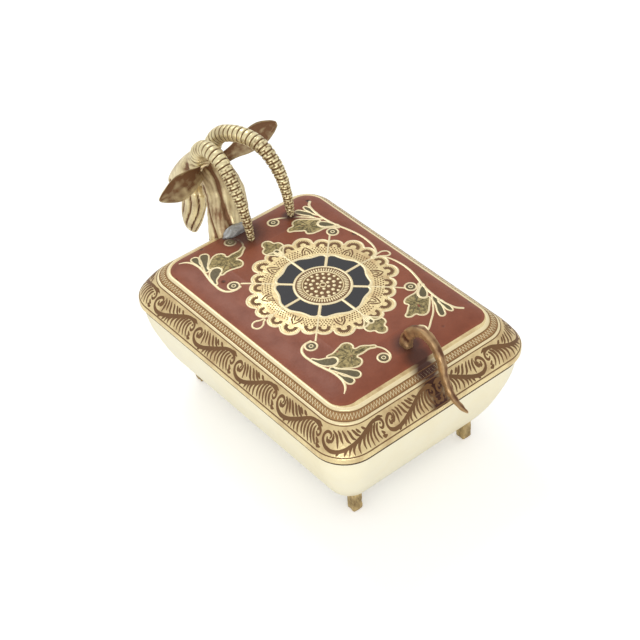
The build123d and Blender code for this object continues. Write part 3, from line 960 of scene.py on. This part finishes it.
ears = {
    "left": [(0.5, 57.5, 58.5), (-2.5, 56, 59.3), (-7, 54, 60.2), (-13, 51.9, 61.2), (-18, 50.5, 61.9),
        (-20.9, 49.9, 62.1)],
    "right": [(9.5, 58.5, 58.5), (13, 58.6, 59), (17.5, 59, 59.4), (24, 59.8, 59.6), (29.3, 60.4, 59.6),
        (32.2, 60.6, 59.5)],
    "sizes": [(1.8, 1.2), (2.2, 1.2), (3.3, 1.1), (3.8, 1.0), (2.2, 0.8), (0.5, 0.4)],
    "widthWay": (0.1, 0.5, 0.86),
}


def buildEars(values):
    for side, openSide in (("left", -1), ("right", 1)):
        def cup(c, d):
            # crescent section, hollow on the open side
            return c, openSide * (0.85 - (1.25 if d * openSide > 0 else 1.9) * abs(d))

        def relief(u, along, angle):
            inside = math.sin(angle) * openSide
            veins = 0.5 + 0.5 * math.sin(math.cos(angle) * 9 + u * 4)
            rimmed = min(1.0, max(0.0, (abs(inside) - 0.42) / 0.2))
            mottle = noise.noise(Vector((u * 9, math.cos(angle) * 3, openSide)))
            # inside the cup: painted shade, darker towards one side, mixed with mottled tarnish and the
            # veins; left clear at the rim
            shade = 0.42 + 0.35 * mottle + 0.12 * veins + 0.25 * math.cos(angle)
            grimeAndShadeLevel = max(0.12, shade) * rimmed if inside > 0 else 0.12 * veins
            return 0.0, grimeAndShadeLevel

        ear = sweepMetal(values[side], values["sizes"], values["widthWay"], relief, 60, 40, section=cup,
                         endRound=(0, 0.5), onLid=False)
        finishPiece(ear, f"ear{side.capitalize()}Cupped", "lid", look["castBrass"])
        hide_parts(f"ear_{side}")


buildEars(ears)

goat = {
    "neck": [(-1.6, 43.2, 43.5), (-1.4, 43.3, 46), (0.8, 46.5, 51.5), (2.6, 51, 55.5), (4.6, 58.5, 56.5)],
    "neckSizes": [(7.3, 5.2), (7.0, 5), (6.7, 5.1), (6.2, 5.3), (5, 4.8)],
    "skull": [(5.4, 56, 60), (4.9, 60.5, 57.5), (4.2, 67, 52.2), (3.4, 73, 46.6), (2.9, 77, 42.8)],
    "skullSizes": [(4, 3.4), (6.2, 5.8), (5.9, 5.6), (4.6, 4.4), (3.4, 3.0)],
    "beard": [(4.2, 66.5, 47), (3.8, 69.5, 38), (3.6, 71.5, 30.5), (3.4, 72.6, 25)],
    "beardSizes": [(4.4, 4.6), (3.6, 4.6), (3, 3.8), (1, 2.2)],
}


def neckRelief(u, along, angle):
    fold = groove(angle / (2 * math.pi) * 6 + u * 0.8 + 0.25 * math.sin(u * 5), 0.11)
    fine = groove(angle / (2 * math.pi) * 26 + 0.4 * math.sin(u * 9), 0.2)
    rough = noise.noise(Vector((along * 0.5, angle * 1.5, 3)))
    # warm brown patches, darker towards the head
    warm = max(0.0, noise.noise(Vector((along * 0.10, math.cos(angle) * 1.4, math.sin(angle) * 1.4))))
    shade = 0.55 * max(0.0, min(1.0, (u - 0.55) / 0.3))
    offset = -0.75 * fold - 0.1 * fine + 0.35 * rough - 0.1
    return offset, 0.5 * fold + 0.12 * fine + 0.2 * rough + 0.9 * warm + shade


def skullRelief(u, along, angle):
    # angle 0 and pi are the cheeks, pi/2 the jaw, 3pi/2 the brow and nose
    side = abs(math.cos(angle))
    top = -math.sin(angle)
    eyeSocket = bump(u, 0.34, 0.07) * bump(top, 0.35, 0.28) * side
    ball = bump(u, 0.34, 0.035) * bump(top, 0.35, 0.14) * side
    brow = bump(u, 0.25, 0.05) * bump(top, 0.6, 0.3)
    nostril = bump(u, 0.9, 0.03) * bump(top, 0.25, 0.15)
    mouth = bump(top, -0.2, 0.07) * min(1.0, max(0.0, (u - 0.55) * 6))
    cheek = bump(u, 0.55, 0.1) * bump(top, -0.1, 0.4)
    hair = groove(angle / (2 * math.pi) * 22 + 0.5 * math.sin(u * 12), 0.2) * bump(u, 0.12, 0.14)
    deep = 1.5 * eyeSocket + 0.9 * nostril + 0.7 * mouth + 0.3 * hair
    offset = -deep + 0.9 * ball + 0.25 * brow + 0.1 * cheek - 0.05
    return offset, 0.9 * eyeSocket + nostril + 0.8 * mouth + 0.5 * hair


def beardRelief(u, along, angle):
    strand = groove(angle / (2 * math.pi) * 9 + 0.5 * math.sin(u * 4), 0.12)
    return -0.7 * strand - 0.1, 0.45 * strand + 0.35 * max(0.0, noise.noise(Vector((along * 0.2, angle, 2))))


def buildHead(values):
    neck = sweepMetal(values["neck"], values["neckSizes"], (1, 0, 0), neckRelief, 90, 84, endRound=(0, 3.5))
    skull = sweepMetal(values["skull"], values["skullSizes"], (1, 0, 0), skullRelief, 100, 72,
                       endRound=(3.0, 1.2), onLid=False)
    beard = sweepMetal(values["beard"], values["beardSizes"], (0.99, 0.11, 0), beardRelief, 60, 54,
                       endRound=(2.0, 1.5), onLid=False)
    head = joinPieces([neck, skull, beard])
    finishPiece(head, "goatHeadCast", "lid", look["castBrass"])
    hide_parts("goat_head")


buildHead(goat)

tail = {
    "path": [(1.4, -33.4, 45), (1.4, -34.2, 50), (1.4, -37.2, 54.4), (1.4, -41.2, 56), (1.4, -44.9, 54.6),
        (1.4, -47.6, 51), (1.4, -49, 46), (1.4, -51.4, 41.6), (1.4, -54.9, 39.4), (1.4, -58.6, 38.7)],
    "sizes": [(1.7, 2.3), (1.4, 2.0), (1.3, 1.8), (1.3, 1.7), (1.3, 1.6), (1.2, 1.5), (1.15, 1.4),
        (1.05, 1.2), (0.9, 0.9), (0.5, 0.4)],
}


def tailRelief(u, along, angle):
    # rough metal with one pit near the root, darker along the edges, and painted shade underneath
    edge = groove(angle / (2 * math.pi) * 4 + 0.5, 0.10)
    rough = noise.noise(Vector((along * 0.6, angle, 8)))
    pit = bump(u, 0.13, 0.025) * bump(math.cos(angle), -0.9, 0.3)
    # painted shade on the underside
    under = max(0.0, math.sin(angle)) ** 2
    return 0.2 * rough - 0.15 - 0.6 * pit, 0.25 * edge + 0.5 * rough + pit + 0.35 * under


def squared(c, d):
    return math.copysign(abs(c) ** 0.6, c), math.copysign(abs(d) ** 0.6, d)


def buildTail(values):
    strap = sweepMetal(values["path"], values["sizes"], (1, 0, 0), tailRelief, 150, 36, section=squared,
                       endRound=(0, 0.8))
    finishPiece(strap, "tailStrap", "lid", look["tailBrass"])
    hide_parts("tail_lift")


buildTail(tail)

# the node that a lump stands for, its finish, its place and its half sizes in mm
solderLumps = {
    "solderNeckLump": ("solder_neck", "solderGrey", (-2.6, 38.7, 46.8), (4.4, 1.8, 2.9)),
    "solderHornLump": ("solder_horn_right", "solderGrey", (14.9, 33.4, 46.4), (1.9, 1.8, 0.7)),
    "solderTailLump": ("solder_tail", "tailBrass", (1.4, -33.4, 45.8), (2.6, 3.0, 0.8)),
    "solderHeadLump": (None, "solderGrey", (5.2, 59.5, 61.5), (2.6, 2.6, 2.2)),
}


def buildSolder(lumps):
    for name, (nodeName, finish, place, half) in lumps.items():
        deselect()
        bpy.ops.mesh.primitive_uv_sphere_add(segments=40, ring_count=24, radius=1)
        lump = bpy.context.object
        for v in lump.data.vertices:
            rough = 1 + 0.16 * noise.noise(v.co * 2.6 + Vector(place))
            v.co = atBox(*(p + h * c * rough for p, h, c in zip(place, half, v.co)))
            if nodeName:
                v.co.z = max(v.co.z, lidHit(v.co.x, v.co.y)[0] - sweep["sunk"] * mm)
        smooth(lump, 60)
        finishPiece(lump, name, "lid", look[finish])
        if nodeName:
            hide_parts(nodeName)


buildSolder(solderLumps)

gapShadow = {"inset": 0.95, "level": 33.4, "width": 0.75}


def buildGapShadow(values):
    # painted shadow: a dark line where the lid sits over the tub's rim
    obj = curveObject("rimGapShadow", [(rimLine(values["inset"]), True)], values["width"] * mm / 2, False, 2)
    for v in obj.data.vertices:
        v.co.z += values["level"] * mm
    smooth(obj, 60)
    finishPiece(obj, "rimGapShadow", "base", look["gapShadeBrass"])


buildGapShadow(gapShadow)

feet = {"half": 1.7, "height": 7.4, "x": 21.6, "y": 36.8, "bevel": 0.45, "seated": 0.5, "dent": 0.22}
tubSkin = skinTree(["base_tub"])


def buildFeet(values):
    for end, along in (("front", -1), ("back", 1)):
        for side, across in (("left", -1), ("right", 1)):
            deselect()
            bpy.ops.mesh.primitive_cube_add(size=1)
            foot = bpy.context.object
            for v in foot.data.vertices:
                v.co = Vector((v.co.x * 2 * values["half"], v.co.y * 2 * values["half"],
                               (v.co.z + 0.5) * values["height"])) * mm
            pick(foot)
            bevel = foot.modifiers.new("edges", "BEVEL")
            bevel.width = values["bevel"] * mm
            bevel.segments = 2
            bpy.ops.object.modifier_apply(modifier="edges")
            editWhole(foot, lambda: bpy.ops.mesh.subdivide(number_cuts=4))
            for v in foot.data.vertices:
                dent = values["dent"] * noise.noise(v.co * 900 + Vector((across * 3, along * 5, 0)))
                v.co.x *= 1 - abs(dent)
                v.co.y *= 1 - abs(dent)
                v.co += Vector((across * values["x"], along * values["y"] + boxMiddle, 0)) * mm
                # the foot's top stays inside the tub's sheet
                under = tubSkin.ray_cast(Vector((v.co.x, v.co.y, 0)), Vector((0, 0, 1)))[0]
                if under is not None:
                    v.co.z = min(v.co.z, under.z + values["seated"] * mm)
            smooth(foot, 50)
            name = f"foot{end.capitalize()}{side.capitalize()}Post"
            finishPiece(foot, name, "base", look["footBrass"])
            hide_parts(f"foot_{end}_{side}")


buildFeet(feet)
print("metal parts built")
